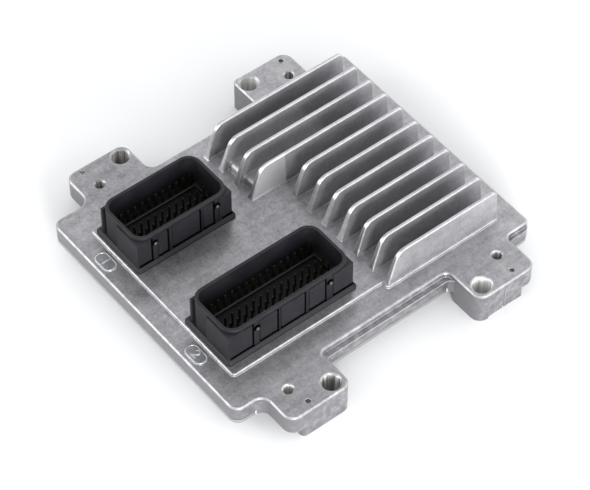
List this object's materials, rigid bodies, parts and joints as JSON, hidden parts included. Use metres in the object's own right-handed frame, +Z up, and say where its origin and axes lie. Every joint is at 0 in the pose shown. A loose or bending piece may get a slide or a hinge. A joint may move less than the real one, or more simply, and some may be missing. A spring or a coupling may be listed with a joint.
{
  "type": "engine control unit",
  "caption": "Engine control unit with a finned die-cast cover, mounting lugs at its corners and open pin headers for the wiring harness.",
  "frame": {"origin": "under the middle of the unit's bounding box, level with the feet", "axes": "+Z up out of the header sockets, +Y along the fins away from the headers, +X across the fins towards the larger header"},
  "size_m": [0.1796, 0.1754, 0.0383],
  "materials": {
    "cast_aluminium": "blasted die casting with bright edges",
    "plate_aluminium": "pressed sheet, mill finish",
    "header_plastic": "black glass-filled nylon, fine texture",
    "pin_metal": "tin-plated brass, satin",
    "seal_rubber": "cured black sealant",
    "board_laminate": "green solder mask on glass laminate",
    "chip_plastic": "black moulded epoxy",
    "resistor_ceramic": "dark glazed ceramic",
    "can_metal": "drawn can, satin",
    "pad_silicone": "soft filled silicone",
    "screw_steel": "zinc-plated steel"
  },
  "bodies": {
    "root": {"cover": "cast_aluminium", "base_plate": "plate_aluminium", "cover_seal": "seal_rubber", "header_one_shell": "header_plastic", "header_two_shell": "header_plastic", "header_one_seal": "seal_rubber", "header_two_seal": "seal_rubber", "header_one_pins": "pin_metal", "header_two_pins": "pin_metal", "header_one_power_pins": "pin_metal", "header_two_power_pins": "pin_metal", "circuit_board": "board_laminate", "board_screws": "screw_steel", "base_screws": "screw_steel", "processor": "chip_plastic", "flash_memory": "chip_plastic", "driver_chips": "chip_plastic", "transceivers": "chip_plastic", "power_transistors": "chip_plastic", "thermal_pads": "pad_silicone", "crystal": "can_metal", "shunt_resistors": "resistor_ceramic", "suppressor_diodes": "chip_plastic", "electrolytic_capacitors": "can_metal", "power_inductor": "chip_plastic", "voltage_regulator": "chip_plastic"}
  },
  "joints": []
}
